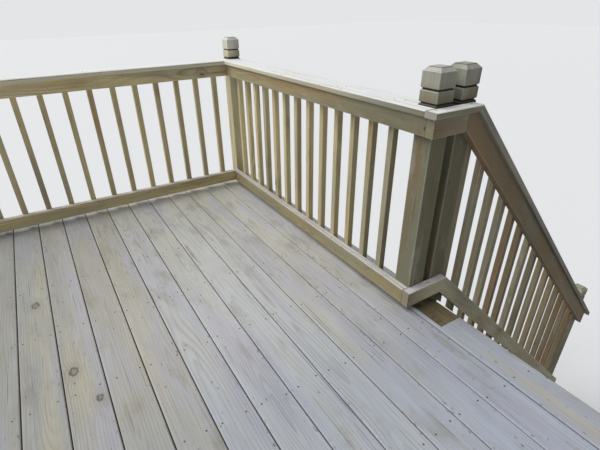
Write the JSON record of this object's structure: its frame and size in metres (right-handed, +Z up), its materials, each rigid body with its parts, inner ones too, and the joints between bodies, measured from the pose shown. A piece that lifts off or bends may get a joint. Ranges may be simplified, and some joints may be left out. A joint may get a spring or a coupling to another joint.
{
  "type": "wooden deck stairs",
  "caption": "Raised timber platform with baluster guard rails and a straight flight of open-riser steps with sloped hand rails.",
  "frame": {"origin": "bottom centre of the whole object's box, on the ground, on the centre line of the flight", "axes": "+X to the right when looking down the flight from the platform towards +Y, +Y the way down the flight, +Z up"},
  "size_m": [5.097, 3.999, 3.133],
  "materials": {
    "decking": "weathered bare softwood, pale grey-beige",
    "cap_boards": "weathered bare softwood, pale",
    "rails": "bare treated softwood, warm tan",
    "shaded_rails": "bare treated softwood, grey-brown",
    "posts": "bare treated softwood, greenish tan",
    "framing": "bare treated softwood, brown",
    "fixings": "galvanised steel nails, bolts and plates, dulled"
  },
  "bodies": {
    "root": {"deck_boards": "decking", "front_board": "decking", "front_rim": "framing", "house_rim": "framing", "left_end_joist": "framing", "right_end_joist": "framing", "inner_joists": "framing", "opening_blocks": "framing", "stair_header": "framing", "stringer_hanger": "framing", "left_corner_post": "posts", "right_corner_post": "posts", "left_deck_post": "posts", "right_deck_post": "posts", "left_head_post": "posts", "right_head_post": "posts", "left_foot_post": "posts", "right_foot_post": "posts", "left_house_post": "posts", "right_house_post": "posts", "left_back_leg": "posts", "right_back_leg": "posts", "left_front_panel": "rails", "right_front_panel": "rails", "left_side_panel": "rails", "right_side_panel": "rails", "left_stair_panel": "shaded_rails", "right_stair_panel": "shaded_rails", "left_front_cap": "cap_boards", "right_front_cap": "cap_boards", "left_side_cap": "cap_boards", "right_side_cap": "cap_boards", "left_stair_cap": "cap_boards", "right_stair_cap": "cap_boards", "left_return_cap": "cap_boards", "right_return_cap": "cap_boards", "left_return_upper_rail": "shaded_rails", "right_return_upper_rail": "shaded_rails", "left_return_bottom_rail": "shaded_rails", "right_return_bottom_rail": "shaded_rails", "left_stringer": "framing", "middle_stringer": "framing", "right_stringer": "framing", "treads": "framing"}
  },
  "joints": []
}
